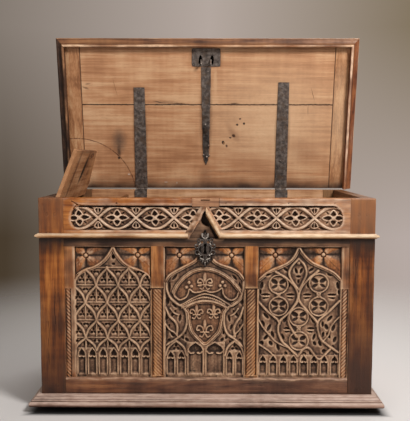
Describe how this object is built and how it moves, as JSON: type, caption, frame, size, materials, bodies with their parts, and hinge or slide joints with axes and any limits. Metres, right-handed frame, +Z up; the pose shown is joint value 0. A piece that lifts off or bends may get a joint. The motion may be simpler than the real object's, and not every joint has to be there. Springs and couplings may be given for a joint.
{
  "type": "storage chest",
  "caption": "Framed and panelled wooden chest with a carved front, a hinged lid held open over a small lidded till, strap hinges and an iron lock.",
  "frame": {"origin": "middle of the outline on the floor, with the lid open as shown", "axes": "+Z up, the carved front faces -Y, +X to the right as seen from the front"},
  "size_m": [1.32, 0.7006, 1.4682],
  "materials": {
    "wood_dark": "old wax, worn",
    "wood_carved": "carved, dry, rubbed high spots",
    "wood_light": "bare, dry",
    "iron": "forged, dark, dull"
  },
  "bodies": {
    "carcass": {"front_stile_left": "wood_dark", "front_stile_right": "wood_dark", "rear_stile_left": "wood_dark", "rear_stile_right": "wood_dark", "front_top_rail": "wood_dark", "front_bottom_rail": "wood_dark", "front_muntin_left": "wood_dark", "front_muntin_right": "wood_dark", "front_panel_left": "wood_carved", "front_panel_centre": "wood_carved", "front_panel_right": "wood_carved", "rear_top_rail": "wood_dark", "rear_bottom_rail": "wood_dark", "rear_muntin": "wood_dark", "rear_panel_left": "wood_dark", "rear_panel_right": "wood_dark", "end_top_rail_left": "wood_dark", "end_top_rail_right": "wood_dark", "end_bottom_rail_left": "wood_dark", "end_bottom_rail_right": "wood_dark", "end_panel_left": "wood_dark", "end_panel_right": "wood_dark", "floor_board_1": "wood_light", "floor_board_2": "wood_light", "floor_board_3": "wood_light", "bearer_front": "wood_dark", "bearer_rear": "wood_dark", "base_moulding_front": "wood_dark", "base_moulding_left": "wood_dark", "base_moulding_right": "wood_dark", "string_moulding_front_left": "wood_light", "string_moulding_front_right": "wood_light", "string_moulding_end_left": "wood_light", "string_moulding_end_right": "wood_light", "rail_repair_block": "wood_light", "lock_case": "iron", "escutcheon": "iron", "hinge_tail_left": "iron", "hinge_tail_right": "iron", "hinge_pin_left": "iron", "hinge_pin_right": "iron", "till_side": "wood_light", "till_floor": "wood_light"},
    "lid": {"lid_board_front": "wood_light", "lid_board_rear": "wood_light", "lid_cleat_left": "wood_light", "lid_cleat_right": "wood_light", "lid_moulding_front": "wood_dark", "lid_moulding_left": "wood_dark", "lid_moulding_right": "wood_dark", "catch_plate": "iron", "catch_staple_left": "iron", "catch_staple_right": "iron", "catch_strap": "iron", "hinge_strap_left": "iron", "hinge_strap_right": "iron"},
    "till_lid": {"till_lid": "wood_light"},
    "bolt": {"lock_bolt": "iron"}
  },
  "joints": [
    {"name": "lid_hinge", "type": "hinge", "parent": "carcass", "child": "lid", "pos_m": [0, 0.32554, 0.8], "axis": [-1, 0, 0], "range_deg": [-79, 16]},
    {"name": "till_pivot", "type": "hinge", "parent": "carcass", "child": "till_lid", "pos_m": [-0.564, 0, 0.786], "axis": [0, -1, 0], "range_deg": [-68.5, 14]},
    {"name": "bolt_slide", "type": "slide", "parent": "carcass", "child": "bolt", "axis": [1, 0, 0], "range_m": [0, 0.014]}
  ],
  "couplings": [
    {"joint": "till_pivot", "follows": "lid_hinge", "ratio": 0.867}
  ]
}
